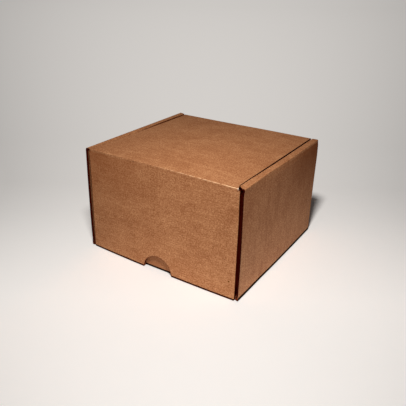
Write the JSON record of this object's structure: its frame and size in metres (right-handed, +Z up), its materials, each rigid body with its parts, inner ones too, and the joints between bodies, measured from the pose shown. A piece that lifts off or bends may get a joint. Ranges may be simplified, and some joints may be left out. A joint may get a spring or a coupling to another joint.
{
  "type": "cardboard mailer box",
  "caption": "Corrugated kraft box with rolled double side walls and a hinged lid whose front flap hangs over the front wall and locks with tucked ears.",
  "frame": {"origin": "on the floor, under the middle of the base panel", "axes": "+Z up, -Y out of the front flap, +X to the right as seen from the front"},
  "size_m": [0.165, 0.1529, 0.1005],
  "materials": {
    "outside_kraft": "uncoated brown kraft liner, matt",
    "shaded_kraft": "uncoated brown kraft liner, matt",
    "inside_kraft": "uncoated brown kraft liner, matt"
  },
  "bodies": {
    "base": {"bottom_panel": "outside_kraft", "front_wall": "outside_kraft", "back_wall": "outside_kraft", "front_left_corner_flap": "shaded_kraft", "front_right_corner_flap": "shaded_kraft", "back_left_corner_flap": "shaded_kraft", "back_right_corner_flap": "shaded_kraft", "left_outer_side_wall": "outside_kraft", "right_outer_side_wall": "outside_kraft", "left_roll_strip": "outside_kraft", "right_roll_strip": "outside_kraft", "left_inner_side_wall": "inside_kraft", "right_inner_side_wall": "inside_kraft"},
    "lid": {"lid_panel": "outside_kraft"},
    "front_flap": {"front_flap": "outside_kraft", "left_flap_ear": "shaded_kraft", "right_flap_ear": "shaded_kraft"}
  },
  "joints": [
    {"name": "lid_crease", "type": "hinge", "parent": "base", "child": "lid", "pos_m": [0, 0.0755, 0.1005], "axis": [-1, 0, 0], "range_deg": [0, 180]},
    {"name": "flap_crease", "type": "hinge", "parent": "lid", "child": "front_flap", "pos_m": [0, -0.0755, 0.1005], "axis": [-1, 0, 0], "range_deg": [0, 88.9]}
  ]
}
